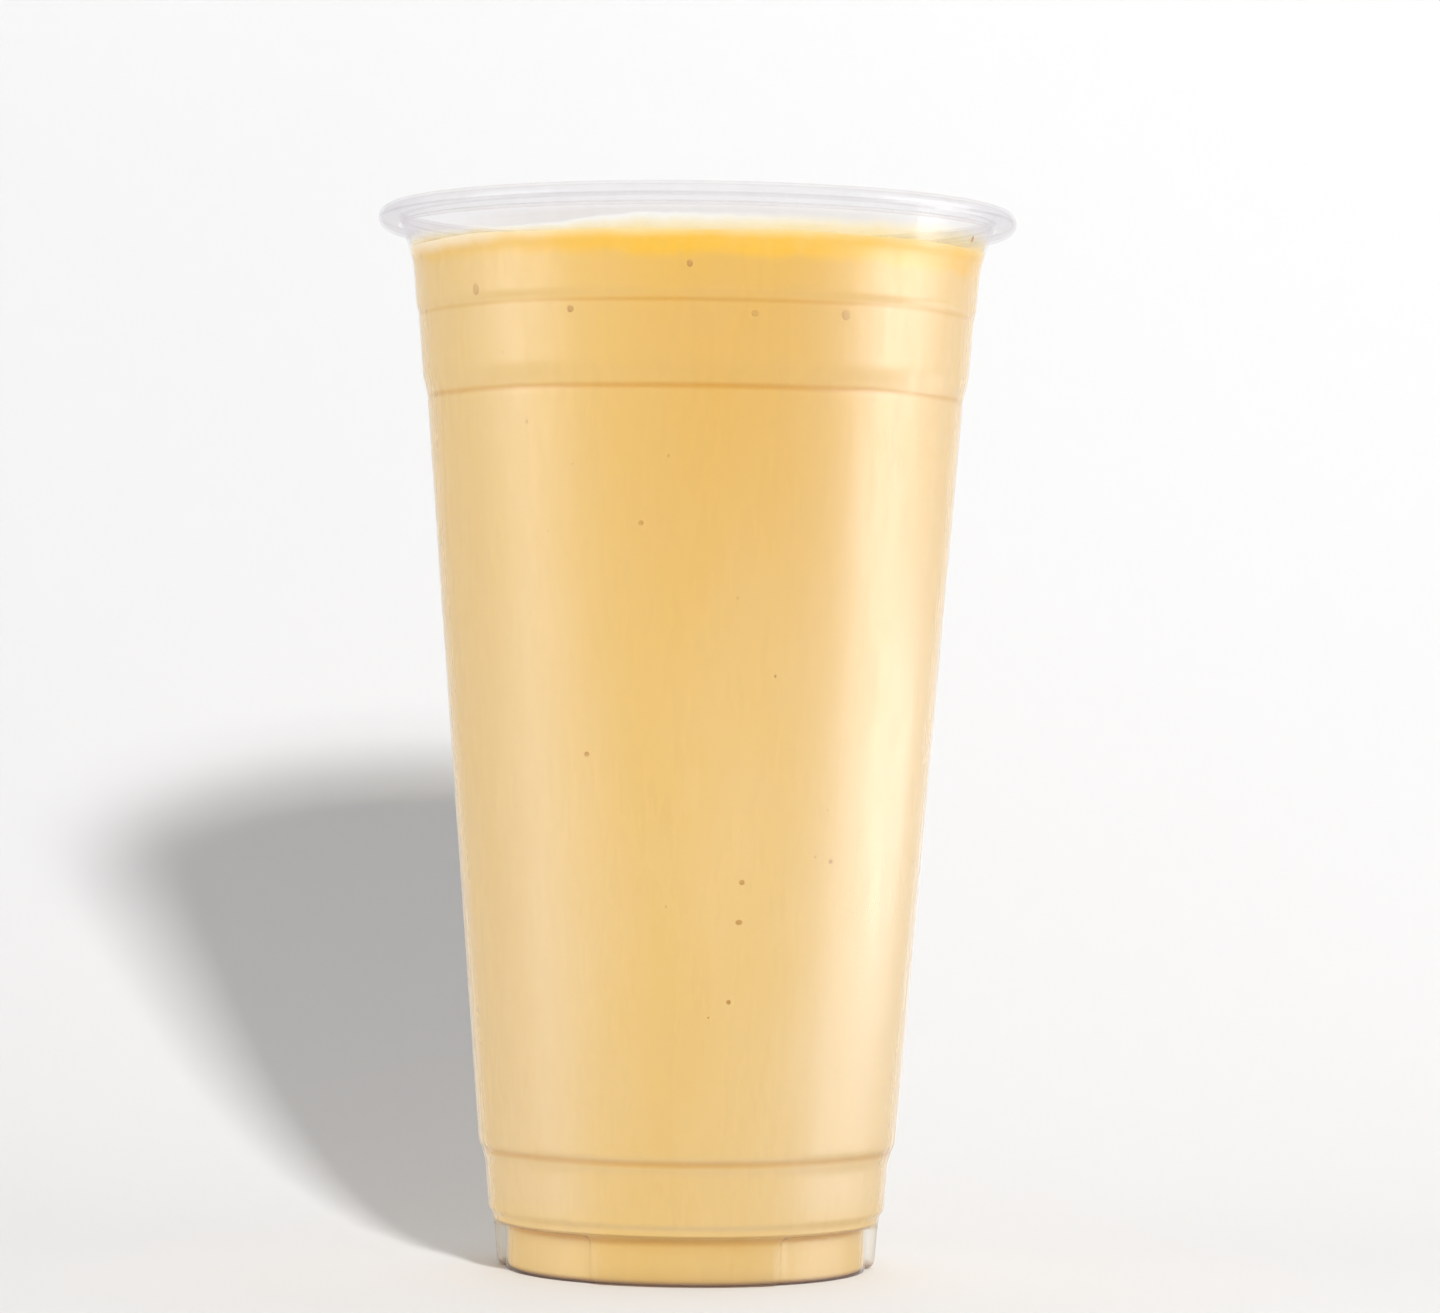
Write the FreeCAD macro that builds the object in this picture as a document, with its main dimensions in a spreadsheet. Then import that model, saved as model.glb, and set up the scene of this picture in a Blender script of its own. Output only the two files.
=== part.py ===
import FreeCAD, Part
import math
import os
import Sketcher

# A tall clear cold-drink cup, formed from one thin plastic sheet with solid
# stacking lugs round its foot, and filled with mango milk almost to its rim.
# Millimetres, +Z up, origin at the middle of the ring that the cup stands on,
# front towards -Y.

os.makedirs("parts", exist_ok=True)
doc = FreeCAD.newDocument("MangoMilk")

SIZES = {
    # the cup as a whole
    "total_height": 162.4,
    "rim_diameter": 98.0,
    "base_diameter": 58.2,  # outside, over the stacking lugs
    "sheet_wall": 0.4,
    # curled rim, and the flare that leads into it
    "rim_overhang": 5.4,  # from the outside of the wall out to the rim
    "curl_radius": 1.75,
    "curl_end_angle": -130.0,  # where the curl stops, from straight outwards
    "flare_angle": 18.6,  # from upright
    # underside
    "corner_radius": 1.6,
    "base_recess": 3.2,
    "ring_width": 2.6,
    "ring_taper": 1.2,
    # the two lower ledges: height of the foot of each, its rise and its step out
    "foot_ledge_height": 8.3,
    "foot_ledge_rise": 1.2,
    "foot_ledge_step": 0.6,
    "low_ledge_height": 16.3,
    "low_ledge_rise": 3.7,
    "low_ledge_step": 0.8,
    # the two upper ledges, measured down from the top of the rim
    "high_ledge_drop": 29.1,
    "high_ledge_rise": 3.7,
    "high_ledge_step": 0.5,
    "neck_ledge_drop": 16.4,
    "neck_ledge_rise": 1.4,
    "neck_ledge_step": 0.25,
    # hollows between the stacking lugs, which are solid, round the foot
    "hollow_count": 3,
    "hollow_angle": 60.0,
    "hollow_depth": 1.6,
    "hollow_ledge_gap": 1.1,  # from the top of a hollow up to the foot ledge
    # what fills the cup
    "fill_gap": 0.1,  # between the sheet and the drink
    "drink_drop": 6.4,  # from the top of the rim down to the drink
    "layer_thickness": 2.9,  # of the golden layer, on the cup's axis
    "layer_tilt": 0.9,
}

sheet = doc.addObject("Spreadsheet::Sheet", "Sizes")
for row, (alias, number) in enumerate(SIZES.items(), start=1):
    sheet.set(f"A{row}", alias)
    sheet.set(f"B{row}", str(number))
    sheet.setAlias(f"B{row}", alias)
doc.recompute()


class Size:
    """A number and the sheet expression that gives it, kept together."""

    def __init__(self, value, text):
        self.value = value
        self.text = text

    def __add__(self, other):
        return Size(self.value + other.value, f"({self.text} + {other.text})")

    def __sub__(self, other):
        return Size(self.value - other.value, f"({self.text} - {other.text})")

    def __mul__(self, other):
        return Size(self.value * other.value, f"({self.text} * {other.text})")

    def __truediv__(self, other):
        return Size(self.value / other.value, f"({self.text} / {other.text})")


def size(alias):
    return Size(float(SIZES[alias]), f"Sizes.{alias}")


def fixed(number):
    return Size(float(number), str(number))


def trig(name, angle):
    """sin, cos or tan of an angle in degrees."""
    return Size(getattr(math, name)(math.radians(angle.value)), f"{name}({angle.text} * 1deg)")


ZERO = fixed(0)
HALF = fixed(0.5)
wall = size("sheet_wall")
top = size("total_height")
base_radius = size("base_diameter") * HALF
corner = size("corner_radius")
wall_top_radius = size("rim_diameter") * HALF - size("rim_overhang")
hollow_radius = base_radius - size("hollow_depth")
hollow_height = size("foot_ledge_height") - size("hollow_ledge_gap")

# The curl is a circle in section, and the flare runs into it along a tangent.
curl = size("curl_radius")
curl_middle_radius = size("rim_diameter") * HALF - curl
curl_middle_height = top - curl
flare = size("flare_angle")


def on_curl(radius, angle):
    """The point of a circle round the curl's middle, at an angle from straight outwards."""
    return (
        curl_middle_radius + radius * trig("cos", angle),
        curl_middle_height + radius * trig("sin", angle),
    )


flare_end_angle = fixed(180) - flare
flare_inner_end = on_curl(curl, flare_end_angle)
flare_outer_end = on_curl(curl - wall, flare_end_angle)
wall_top_height = flare_outer_end[1] - (flare_outer_end[0] - wall_top_radius) / trig("tan", flare)

# Ledges from the bottom up: height of the foot, rise, step out.
ledges = [
    (size("foot_ledge_height"), size("foot_ledge_rise"), size("foot_ledge_step")),
    (size("low_ledge_height"), size("low_ledge_rise"), size("low_ledge_step")),
    (top - size("high_ledge_drop"), size("high_ledge_rise"), size("high_ledge_step")),
    (top - size("neck_ledge_drop"), size("neck_ledge_rise"), size("neck_ledge_step")),
]
all_steps = sum((step for _, _, step in ledges), ZERO)
wall_slope = (wall_top_radius - base_radius - all_steps) / (wall_top_height - corner)


def origin_feature(body, role):
    return next(item for item in body.Origin.OriginFeatures if item.Role == role)


def pin(sketch, kind, edge, point, length):
    """Ties one coordinate of a point to its size, or puts the point on the axis."""
    if length is ZERO:
        axis = -2 if kind == "DistanceX" else -1
        sketch.addConstraint(Sketcher.Constraint("PointOnObject", edge, point, axis))
        return
    index = sketch.addConstraint(Sketcher.Constraint(kind, -1, 1, edge, point, length.value))
    sketch.setExpression(f"Constraints[{index}]", length.text)


def draw_outline(body, name, plane, corners):
    """Draws a closed outline on one of the body's own planes.

    Each corner is (x, y), or (x, y, arc) where arc is (radius, middle, way) and
    shapes the edge to the next corner: way is 1 anticlockwise, -1 clockwise.
    """
    sketch = body.newObject("Sketcher::SketchObject", name)
    sketch.AttachmentSupport = (origin_feature(body, plane), [""])
    sketch.MapMode = "FlatFace"
    ends = []
    for index, here in enumerate(corners):
        there = corners[(index + 1) % len(corners)]
        start = FreeCAD.Vector(here[0].value, here[1].value, 0)
        end = FreeCAD.Vector(there[0].value, there[1].value, 0)
        if len(here) == 2:
            edge = sketch.addGeometry(Part.LineSegment(start, end))
            ends.append((edge, 1, 2))
            continue
        radius, middle, way = here[2]
        centre = FreeCAD.Vector(middle[0].value, middle[1].value, 0)
        circle = Part.Circle(centre, FreeCAD.Vector(0, 0, 1), radius.value)
        first, last = (start, end) if way > 0 else (end, start)
        from_angle = math.atan2(first.y - centre.y, first.x - centre.x)
        to_angle = math.atan2(last.y - centre.y, last.x - centre.x)
        if to_angle < from_angle:
            to_angle += 2 * math.pi
        edge = sketch.addGeometry(Part.ArcOfCircle(circle, from_angle, to_angle))
        ends.append((edge, 1, 2) if way > 0 else (edge, 2, 1))
        index = sketch.addConstraint(Sketcher.Constraint("Radius", edge, radius.value))
        sketch.setExpression(f"Constraints[{index}]", radius.text)
    for (edge, start, end), following, corner_point in zip(ends, ends[1:] + ends[:1], corners):
        sketch.addConstraint(Sketcher.Constraint("Coincident", edge, end, following[0], following[1]))
        pin(sketch, "DistanceX", edge, start, corner_point[0])
        pin(sketch, "DistanceY", edge, start, corner_point[1])
    return sketch


def side_outline(inset, foot):
    """The cup's side and base, from the axis out and up, drawn inwards by inset.

    foot has the corners from the ring that it stands on up to below the first ledge.
    """
    ring_inner = base_radius - corner - size("ring_width") + inset
    recess = size("base_recess") + inset
    outline = [
        (ZERO, recess),
        (ring_inner - size("ring_taper"), recess),
        (ring_inner, inset),
        *foot,
    ]
    radius = base_radius
    height = corner
    for ledge_foot, rise, step in ledges:
        radius = radius + (ledge_foot - height) * wall_slope
        outline.append((radius - inset, ledge_foot))
        radius = radius + rise * wall_slope + step
        height = ledge_foot + rise
        outline.append((radius - inset, height))
    outline.append((wall_top_radius - inset, wall_top_height))
    return outline


def inner_foot(inset):
    """The foot's inside: upright, behind the hollows, so that the lugs are solid."""
    radius = hollow_radius - inset
    bend = corner - inset
    bend_start = radius - bend
    return [
        (bend_start, inset, (bend, (bend_start, corner), 1)),
        (radius, corner),
        (radius, hollow_height + inset),
    ]


def turned_body(name, corners):
    body = doc.addObject("PartDesign::Body", name)
    turned = body.newObject("PartDesign::Revolution", name + "Turned")
    turned.Profile = draw_outline(body, name + "Outline", "XZ_Plane", corners)
    turned.ReferenceAxis = (turned.Profile[0], ["V_Axis"])
    turned.Angle = 360
    doc.recompute()
    return body


def cut_hollows(body):
    """Cuts the hollows between the stacking lugs into the foot."""
    uncut_volume = body.Shape.Volume
    outside = base_radius + hollow_height
    middle = fixed(-30)  # of the first hollow, so that a lug faces the front
    half_angle = size("hollow_angle") * HALF
    low = middle - half_angle
    high = middle + half_angle
    far = outside / trig("cos", half_angle)
    corners = [
        (hollow_radius * trig("cos", low), hollow_radius * trig("sin", low)),
        (far * trig("cos", low), far * trig("sin", low)),
        (far * trig("cos", high), far * trig("sin", high)),
        (
            hollow_radius * trig("cos", high),
            hollow_radius * trig("sin", high),
            (hollow_radius, (ZERO, ZERO), -1),
        ),
    ]
    pocket = body.newObject("PartDesign::Pocket", "Hollow")
    pocket.Profile = draw_outline(body, "HollowOutline", "XY_Plane", corners)
    pocket.Reversed = True
    pocket.setExpression("Length", hollow_height.text)
    around = body.newObject("PartDesign::PolarPattern", "Hollows")
    around.Originals = [pocket]
    around.Axis = (origin_feature(body, "Z_Axis"), [""])
    around.Angle = 360
    around.setExpression("Occurrences", "Sizes.hollow_count")
    body.Tip = around
    doc.recompute()
    if not body.Shape.Volume < uncut_volume:
        raise RuntimeError("the hollows cut nothing from the foot")


# Cup: outside less inside, up to the top of the straight wall, then flare and rim.
wall_lid = (ZERO, wall_top_height)
outer_corner = (corner, (base_radius - corner, corner), 1)
outer_foot = [(base_radius - corner, ZERO, outer_corner), (base_radius, corner)]
outside_form = turned_body("Outside", [*side_outline(ZERO, outer_foot), wall_lid])
cut_hollows(outside_form)
inside_form = turned_body("Inside", [*side_outline(wall, inner_foot(wall)), wall_lid])

shell = doc.addObject("Part::Cut", "Shell")
shell.Base = outside_form
shell.Tool = inside_form

curl_end = size("curl_end_angle")
curl_outer_end = on_curl(curl, curl_end)
curl_inner_end = on_curl(curl - wall, curl_end)
curl_middle = (curl_middle_radius, curl_middle_height)
rim_outline = [
    (wall_top_radius - wall, wall_top_height),
    (*flare_inner_end, (curl, curl_middle, -1)),
    curl_outer_end,
    (*curl_inner_end, (curl - wall, curl_middle, 1)),
    flare_outer_end,
    (wall_top_radius, wall_top_height),
]

cup = doc.addObject("Part::Fuse", "Cup")
cup.Label = "cup"
cup.Base = shell
cup.Tool = turned_body("Rim", rim_outline)
cup.Refine = True

# Drink: the form inside the sheet, up to its level in the flare.
fill_inset = wall + size("fill_gap")
level = top - size("drink_drop")
flare_slope = (flare_inner_end[0] - wall_top_radius + wall) / (flare_inner_end[1] - wall_top_height)
level_radius = wall_top_radius - fill_inset + (level - wall_top_height) * flare_slope
fill_outline = [
    *side_outline(fill_inset, inner_foot(fill_inset)),
    (level_radius, level),
    (ZERO, level),
]
fill_form = turned_body("Fill", fill_outline)

# The golden layer lies on the drink and is thicker to the right: a tilted block,
# whose top face crosses the axis at the layer's underside, parts the two.
block_side = size("rim_diameter") * fixed(2)
block_depth = top * fixed(2)
tilt = size("layer_tilt")
leaning = trig("sin", tilt)
upright = trig("cos", tilt)
block_corner = (
    ZERO - block_side * HALF * upright - block_depth * leaning,
    ZERO - block_side * HALF,
    level - size("layer_thickness") + block_side * HALF * leaning - block_depth * upright,
)
below_layer = doc.addObject("Part::Box", "BelowLayer")
below_layer.setExpression("Length", block_side.text)
below_layer.setExpression("Width", block_side.text)
below_layer.setExpression("Height", block_depth.text)
below_layer.Placement.Rotation = FreeCAD.Rotation(FreeCAD.Vector(0, 1, 0), tilt.value)
below_layer.setExpression("Placement.Rotation.Angle", f"{tilt.text} * 1deg")
for way, place in zip("xyz", block_corner):
    below_layer.setExpression(f"Placement.Base.{way}", place.text)

drink = doc.addObject("Part::Common", "Drink")
drink.Label = "drink"
drink.Base = fill_form
drink.Tool = below_layer

golden_layer = doc.addObject("Part::Cut", "GoldenLayer")
golden_layer.Label = "golden_layer"
golden_layer.Base = fill_form
golden_layer.Tool = below_layer

doc.recompute()

for item in doc.Objects:
    if "Invalid" in item.State or "Error" in item.State:
        raise RuntimeError(f"{item.Name} did not build: {item.State}")

nodes = [cup, drink, golden_layer]
for node in nodes:
    if node.Shape.isNull() or not node.Shape.isValid() or len(node.Shape.Solids) != 1:
        raise RuntimeError(f"{node.Label} is not one valid solid")

for node in nodes:
    node.Shape.exportStep(f"parts/{node.Label}.step")
    print(f"{node.Label}: {node.Shape.Volume / 1000:.2f} cm3")
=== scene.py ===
import math
import random

import bpy
import numpy as np
from mathutils import Matrix, Vector, noise


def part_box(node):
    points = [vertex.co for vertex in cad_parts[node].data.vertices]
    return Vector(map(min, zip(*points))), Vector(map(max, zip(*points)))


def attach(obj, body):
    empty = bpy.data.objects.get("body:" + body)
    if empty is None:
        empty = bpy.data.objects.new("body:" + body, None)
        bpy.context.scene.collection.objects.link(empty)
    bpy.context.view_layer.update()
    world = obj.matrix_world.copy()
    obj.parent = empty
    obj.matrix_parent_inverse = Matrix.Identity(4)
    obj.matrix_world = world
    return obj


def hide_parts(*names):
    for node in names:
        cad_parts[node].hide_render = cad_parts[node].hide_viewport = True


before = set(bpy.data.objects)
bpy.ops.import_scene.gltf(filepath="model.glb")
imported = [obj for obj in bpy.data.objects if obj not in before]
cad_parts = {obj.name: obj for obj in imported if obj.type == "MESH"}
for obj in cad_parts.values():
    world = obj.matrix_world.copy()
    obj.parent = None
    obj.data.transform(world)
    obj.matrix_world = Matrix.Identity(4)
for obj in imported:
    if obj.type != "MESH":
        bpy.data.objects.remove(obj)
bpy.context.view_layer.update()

mm = 0.001  # every size below is in millimetres, every vertex in metres

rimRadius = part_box("cup")[1].x / mm
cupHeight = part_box("cup")[1].z / mm
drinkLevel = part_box("golden_layer")[1].z / mm
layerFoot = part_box("golden_layer")[0].z / mm  # lowest point of the golden layer, on its thick side

cupSizes = {
    "sheet": 0.4,  # thickness of the plastic
    "footRadius": 29.1,  # outside, above the rounded bottom edge
    "footCorner": 1.6,
    "standInner": 24.9,  # ring that the cup stands on
    "standMiddle": 26.9,
    "standTaper": 1.2,
    "recess": 3.2,  # how far the floor of the cup is above the table
    "hollowRadius": 27.5,  # foot between the stacking lugs
    "hollowTop": 7.2,
    "lugEnd": 4.4,  # degrees over which a lug's end is rounded
    "rimOverhang": 5.4,
    "curlRadius": 1.75,
    "curlEnd": -130,
    "flareAngle": 18.6,
    "flareBend": 0.55,
    "waviness": 0.035,
}
# each ledge: height of its foot, its rise and its step outwards
cupLedges = [
    (8.3, 1.2, 0.6),
    (16.3, 3.7, 0.8),
    (cupHeight - 29.1, 3.7, 0.5),
    (cupHeight - 16.4, 1.4, 0.25),
]

# sharp bends at the ledges: height, half width, depth of the groove, strength of the painted shade line
# along it
cupCreases = [
    (6.75, 0.85, 0.0, 0.85),
    (18.5, 0.85, 0.13, 0.75),
    (cupHeight - 29.3, 0.75, 0.10, 0.65),
    (cupHeight - 16.8, 0.55, 0.04, 0.45),
]

drinkSizes = {
    "intoWall": 0.14,  # how far inside the plastic's outer face the drink ends
    "footRadius": 27.3,
    "layerTilt": 0.9,  # degrees, thicker to the right
    "layerWave": 0.22,
    "meniscusRise": 0.60,
    "meniscusWidth": 1.4,
    "ripple": 0.10,
    "sag": 0.75,  # how far the middle of the surface lies below its edge
    "unevenEdge": 0.16,
}

turnAngles = {
    "evenSteps": 180,
    "nearLugEnd": (-3.6, -3.0, -2.4, -1.9, -1.4, -0.9, -0.45, 0.45, 0.9, 1.4, 1.9, 2.4, 3.0, 3.6),
}

curlMiddle = (rimRadius - cupSizes["curlRadius"], cupHeight - cupSizes["curlRadius"])
flareSlope = math.tan(math.radians(cupSizes["flareAngle"]))
flareJoin = math.radians(180 - cupSizes["flareAngle"])  # where the flare meets the curl


def onCurl(radius, angle):
    return (curlMiddle[0] + radius * np.cos(angle), curlMiddle[1] + radius * np.sin(angle))


innerCurl = cupSizes["curlRadius"] - cupSizes["sheet"]
flareOuterEnd = onCurl(innerCurl, flareJoin)
wallTopRadius = rimRadius - cupSizes["rimOverhang"]
wallTop = flareOuterEnd[1] - (flareOuterEnd[0] - wallTopRadius) / flareSlope
allSteps = sum(step for foot, rise, step in cupLedges)
wallSlope = (wallTopRadius - cupSizes["footRadius"] - allSteps) / (wallTop - cupSizes["footCorner"])


def smoothRise(low, high, value):
    t = np.clip((value - low) / (high - low), 0, 1)
    return t * t * (3 - 2 * t)


# outer face of the wall, with its ledges and the flare under the rim
def outsideRadius(z):
    radius = cupSizes["footRadius"] + wallSlope * (z - cupSizes["footCorner"])
    for foot, rise, step in cupLedges:
        radius = radius + step * smoothRise(foot, foot + rise, z)
    bend = cupSizes["flareBend"]
    for middle, half, depth, strength in cupCreases:
        radius = radius - depth * np.exp(-((z - middle) / (half * 0.6)) ** 2)
    beyond = bend * np.log1p(np.exp(np.clip((z - wallTop) / bend, -30, 30)))
    return radius + beyond * (flareSlope - wallSlope)


# a face that lies a given depth inside the outer face
def wallFace(z, depth):
    lean = (outsideRadius(z + 0.05) - outsideRadius(z - 0.05)) / 0.1
    return outsideRadius(z) - depth * np.sqrt(1 + lean * lean)


# slow unevenness of the formed sheet, the same for both of its faces and the drink
def sheetWave(angle, z):
    wave = np.sin(2 * angle + 0.021 * z + 0.4) + 0.7 * np.sin(5 * angle - 0.034 * z + 1.9)
    wave = wave + 0.45 * np.sin(9 * angle + 0.052 * z + 4.1) + 0.3 * np.sin(0.23 * z + 3 * angle)
    fade = smoothRise(20, 34, z) * (1 - smoothRise(140, 152, z))
    return cupSizes["waviness"] * wave * fade


def columnAngles():
    angles = [math.radians(i * 360 / turnAngles["evenSteps"]) for i in range(turnAngles["evenSteps"])]
    for end in range(0, 360, 60):
        angles += [math.radians((end + 30 + off) % 360) for off in turnAngles["nearLugEnd"]]
    return np.array(sorted(set(round(a, 6) for a in angles)))


# 1 on a stacking lug, 0 in a hollow; a lug faces the front
def lugShare(angle):
    turned = (np.degrees(angle) + 90 + 60) % 120 - 60
    half = cupSizes["lugEnd"] / 2
    return 1 - smoothRise(30 - half, 30 + half, np.abs(turned))


def evenPoints(points, count):
    points = np.array(points, float)
    steps = np.hypot(*np.diff(points, axis=0).T)
    along = np.concatenate([[0], np.cumsum(steps)])
    wanted = np.linspace(0, along[-1], count)
    return np.stack([np.interp(wanted, along, points[:, i]) for i in (0, 1)], axis=1)


# an outline with its corners rounded; each corner is (radius, height, rounding)
def roundedOutline(corners, steps=4):
    made = []
    for i, (r, z, rounding) in enumerate(corners):
        if not rounding or i in (0, len(corners) - 1):
            made.append((r, z))
            continue
        here = np.array((r, z), float)
        before = np.array(corners[i - 1][:2], float) - here
        after = np.array(corners[i + 1][:2], float) - here
        before *= min(rounding / np.hypot(*before), 0.48)
        after *= min(rounding / np.hypot(*after), 0.48)
        for t in np.linspace(0, 1, steps + 1):
            made.append(tuple(here + before * (1 - t) ** 2 + after * t ** 2))
    return made


# heights of the wall's rows, closer together at ledges, creases and the foot of the flare
wallRows = {
    "plainGap": 3.6,
    "perRise": 3.4,  # rows for each millimetre that a ledge rises
    "leastGap": 0.07,
}


def wallHeights(low, high):
    heights = [low, high]
    heights += list(np.arange(math.ceil(low), high, wallRows["plainGap"]))
    for foot, rise, step in cupLedges:
        count = max(8, int(rise * wallRows["perRise"]))
        heights += list(np.linspace(foot - 0.5, foot + rise + 0.5, count))
    for middle, half, depth, strength in cupCreases:
        heights += list(np.linspace(middle - 1.5 * half, middle + 1.5 * half, 11))
    heights += list(np.linspace(wallTop - 1.8, wallTop + 1.8, 9))
    kept = sorted(z for z in set(heights) if low <= z <= high)
    ends = (0, len(kept) - 1)
    least = wallRows["leastGap"]
    return np.array([z for i, z in enumerate(kept) if i in ends or z - kept[i - 1] > least])


# turns rows of (radii, heights) round the axis; a row of one point closes on the axis
def turnedMesh(name, rows, angles, closed=False):
    vertices = []
    starts = []
    for radii, heights in rows:
        starts.append(len(vertices))
        if np.ndim(radii) == 0 and radii == 0:
            vertices.append((0, 0, float(np.mean(heights))))
            continue
        radii = np.broadcast_to(radii, angles.shape)
        heights = np.broadcast_to(heights, angles.shape)
        vertices += np.stack([radii * np.cos(angles), radii * np.sin(angles), heights], axis=1).tolist()
    starts.append(len(vertices))
    count = len(angles)
    faces = []
    pairs = [(i, i + 1) for i in range(len(rows) - 1)]
    if closed:
        pairs.append((len(rows) - 1, 0))
    for low, high in pairs:
        a, b = starts[low], starts[high]
        aPole = starts[low + 1] - a == 1
        bPole = starts[high + 1] - b == 1
        for j in range(count):
            k = (j + 1) % count
            if aPole:
                faces.append((a, b + k, b + j))
            elif bPole:
                faces.append((a + j, a + k, b))
            else:
                faces.append((a + j, a + k, b + k, b + j))
    return meshPiece(name, np.array(vertices) * mm, faces)


def meshPiece(name, vertices, faces):
    mesh = bpy.data.meshes.new(name)
    mesh.from_pydata([tuple(v) for v in vertices], [], faces)
    mesh.validate()
    mesh.polygons.foreach_set("use_smooth", [True] * len(mesh.polygons))
    mesh.update()
    piece = bpy.data.objects.new(name, mesh)
    bpy.context.scene.collection.objects.link(piece)
    return piece


# helpers for materials and their nodes
def newMaterial(name):
    material = bpy.data.materials.new(name)
    material.use_nodes = True
    material.node_tree.nodes.clear()
    return material, material.node_tree


def addNode(tree, kind, inputs=None, **settings):
    made = tree.nodes.new(kind)
    for key, value in settings.items():
        setattr(made, key, value)
    for key, value in (inputs or {}).items():
        if isinstance(value, bpy.types.NodeSocket):
            tree.links.new(value, made.inputs[key])
        else:
            made.inputs[key].default_value = value
    return made


def maths(tree, operation, a, b=None, c=None):
    inputs = {i: v for i, v in enumerate((a, b, c)) if v is not None}
    return addNode(tree, "ShaderNodeMath", inputs, operation=operation).outputs[0]


def mixColours(tree, share, a, b, blend="MIX"):
    inputs = {0: share, 6: a, 7: b}
    return addNode(tree, "ShaderNodeMix", inputs, data_type="RGBA", blend_type=blend).outputs[2]


def ramp(tree, value, low, high, atLow, atHigh, smooth=True):
    inputs = {"Value": value, "From Min": low, "From Max": high, "To Min": atLow, "To Max": atHigh}
    kind = "SMOOTHSTEP" if smooth else "LINEAR"
    return addNode(tree, "ShaderNodeMapRange", inputs, interpolation_type=kind).outputs[0]


def noiseOf(tree, vector, scale, detail=3.0, rough=0.5, distortion=0.0):
    inputs = {"Vector": vector, "Scale": scale, "Detail": detail, "Roughness": rough}
    return addNode(tree, "ShaderNodeTexNoise", {**inputs, "Distortion": distortion}).outputs[0]


def placeOf(tree, stretch=(1, 1, 1)):
    place = addNode(tree, "ShaderNodeTexCoord").outputs["Object"]
    return addNode(tree, "ShaderNodeMapping", {0: place, 3: stretch}).outputs[0]


def axesOf(tree):
    place = addNode(tree, "ShaderNodeTexCoord").outputs["Object"]
    parts = addNode(tree, "ShaderNodeSeparateXYZ", {0: place})
    return parts.outputs[0], parts.outputs[1], parts.outputs[2]


def mixShaders(tree, share, a, b):
    return addNode(tree, "ShaderNodeMixShader", {0: share, 1: a.outputs[0], 2: b.outputs[0]})


def showOn(material, shader):
    addNode(material.node_tree, "ShaderNodeOutputMaterial", {0: shader.outputs[0]})
    return material


def awayFrom(tree, value, middle):
    return maths(tree, "ABSOLUTE", maths(tree, "SUBTRACT", value, middle))


def centred(tree, value, by, onto):
    return maths(tree, "MULTIPLY_ADD", maths(tree, "SUBTRACT", value, 0.5), by, onto)


# edge up to which the milk wets the plastic, in metres: leans up to the right and dips at the left
topEdge = {
    "height": 0.1583,
    "lean": 0.022,
    "dipAt": -0.026,
    "dipWidth": 0.019,
    "dip": 0.0008,
    "raggedScale": 190.0,
    "raggedBy": 0.0012,
}


def wetUpTo(tree, x):
    leaned = maths(tree, "MULTIPLY_ADD", x, topEdge["lean"], topEdge["height"])
    aside = awayFrom(tree, x, topEdge["dipAt"])
    dip = ramp(tree, aside, 0.0, topEdge["dipWidth"], topEdge["dip"], 0.0)
    return maths(tree, "SUBTRACT", leaned, dip)


def raggedNoise(tree):
    return noiseOf(tree, placeOf(tree, (1, 1, 0.6)), topEdge["raggedScale"], 2.0, 0.6)


print("sizes read:", round(rimRadius, 2), round(cupHeight, 2), round(drinkLevel, 2))

# stage: pale table that sweeps up behind the cup, in metres
stageSizes = {
    "front": -1.6,
    "floorMiddle": -0.3,
    "side": 1.9,
    "bendStart": 0.03,
    "bendRadius": 0.30,
    "bendSteps": 24,
    "top": 1.1,
    "fadeFrom": 0.46,  # how far from the cup the paper starts to fade into the light of the room
    "fadeTo": 0.75,
    "underFoot": 0.0262,  # within this radius, light from below reaches the cup
}
paperLook = {
    "table": (0.80, 0.80, 0.805, 1),
    "cloud": (0.785, 0.785, 0.79, 1),
    "room": (0.955, 0.955, 0.96, 1),
    "cloudScale": 3.0,
    "grainScale": 900.0,
    "grainStrength": 0.04,
    "grainDepth": 0.0002,
    "roughness": 0.75,
    "shine": 0.2,
}


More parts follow.
